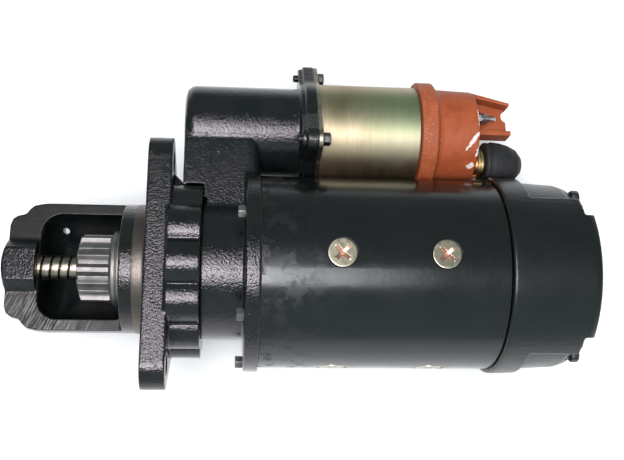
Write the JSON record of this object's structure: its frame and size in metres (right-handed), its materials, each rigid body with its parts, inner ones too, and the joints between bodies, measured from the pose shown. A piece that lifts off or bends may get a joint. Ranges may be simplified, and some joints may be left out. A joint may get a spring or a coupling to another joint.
{
  "type": "starter motor",
  "caption": "Heavy-duty gearless starter motor with an open nose, a triangular mounting flange, an overrunning pinion and a piggyback solenoid that shifts it into mesh.",
  "frame": {"origin": "centre of the pilot, on the mounting flange's face", "axes": "+X along the shaft from the nose towards the commutator end, +Y from the shaft towards the solenoid, +Z away from the floor the starter lies on"},
  "size_m": [0.4025, 0.2403, 0.1605],
  "materials": {
    "black_casting": "semi-gloss black paint over a rough casting",
    "black_paint": "smooth gloss black",
    "machined_steel": "turned, satin",
    "dark_steel": "oiled",
    "black_screws": "black oxide",
    "yellow_zinc": "yellow zinc, brushed round",
    "white_zinc": "clear zinc",
    "copper": "plain copper",
    "brass": "plain brass",
    "bronze": "sintered bronze",
    "terracotta_plastic": "moulded, matt red-brown",
    "light_plastic": "moulded",
    "rubber": "matt black",
    "carbon": "copper-carbon"
  },
  "bodies": {
    "housing": {"drive_end_nose": "black_casting", "drive_end_housing": "black_casting", "nose_bush": "bronze", "nose_screws": "dark_steel", "lever_housing": "black_casting", "lever_housing_bolts": "black_screws", "centre_bearing_plate": "machined_steel", "centre_bush": "bronze", "yoke_gasket": "rubber", "yoke": "black_paint", "pole_shoe_1": "dark_steel", "pole_shoe_2": "dark_steel", "pole_shoe_3": "dark_steel", "pole_shoe_4": "dark_steel", "field_coil_1": "copper", "field_coil_2": "copper", "field_coil_3": "copper", "field_coil_4": "copper", "pole_screws": "yellow_zinc", "commutator_end_cap": "black_paint", "rear_bush": "bronze", "cap_bolts": "black_screws", "cap_screws": "black_screws", "brush_plate": "light_plastic", "brush_holders": "brass", "carbon_brushes": "carbon", "brush_springs": "dark_steel", "lever_pivot_pin": "machined_steel", "solenoid_flange_plate": "yellow_zinc", "solenoid_case": "yellow_zinc", "solenoid_bobbin": "light_plastic", "solenoid_winding": "copper", "solenoid_core": "dark_steel", "solenoid_bolts": "black_screws", "solenoid_cap": "terracotta_plastic", "motor_terminal": "copper", "battery_terminal": "copper", "switch_terminal": "white_zinc", "terminal_nuts": "white_zinc", "terminal_washers": "brass", "terminal_boot": "rubber", "motor_lead": "copper", "lead_grommet": "rubber"},
    "armature": {"armature_shaft": "machined_steel", "armature_core": "dark_steel", "armature_winding": "copper", "commutator": "copper"},
    "drive": {"clutch_shell": "dark_steel", "clutch_cover": "machined_steel", "clutch_rollers": "dark_steel", "clutch_sleeve": "dark_steel", "fork_collar": "machined_steel", "mesh_spring": "dark_steel"},
    "pinion": {"drive_pinion": "machined_steel"},
    "lever": {"shift_lever": "dark_steel"},
    "plunger": {"plunger": "machined_steel", "plunger_rod": "dark_steel", "return_spring": "dark_steel"},
    "contact": {"moving_contact": "copper", "contact_rod": "dark_steel"}
  },
  "joints": [
    {"name": "armature_spin", "type": "hinge", "parent": "housing", "child": "armature", "pos_m": [0, 0, 0], "axis": [1, 0, 0], "continuous": true},
    {"name": "drive_slide", "type": "slide", "parent": "armature", "child": "drive", "axis": [-1, 0, 0], "range_m": [0, 0.022]},
    {"name": "pinion_overrun", "type": "hinge", "parent": "drive", "child": "pinion", "pos_m": [0, 0, 0], "axis": [1, 0, 0], "continuous": true},
    {"name": "lever_hinge", "type": "hinge", "parent": "housing", "child": "lever", "pos_m": [0.049, 0.06401, 0], "axis": [0, 0, 1], "range_deg": [-19.51, 0]},
    {"name": "plunger_slide", "type": "slide", "parent": "housing", "child": "plunger", "axis": [1, 0, 0], "range_m": [0, 0.0134], "stiffness_N_per_m": 1000, "springref_m": -0.02, "deforming": ["return_spring"]},
    {"name": "contact_slide", "type": "slide", "parent": "housing", "child": "contact", "axis": [1, 0, 0], "range_m": [0, 0.011]}
  ],
  "couplings": [
    {"joint": "drive_slide", "follows": "plunger_slide", "ratio": 1.6418},
    {"joint": "lever_hinge", "follows": "plunger_slide", "rad_per_m": -25.4},
    {"joint": "contact_slide", "follows": "plunger_slide", "ratio": 0.8209}
  ]
}
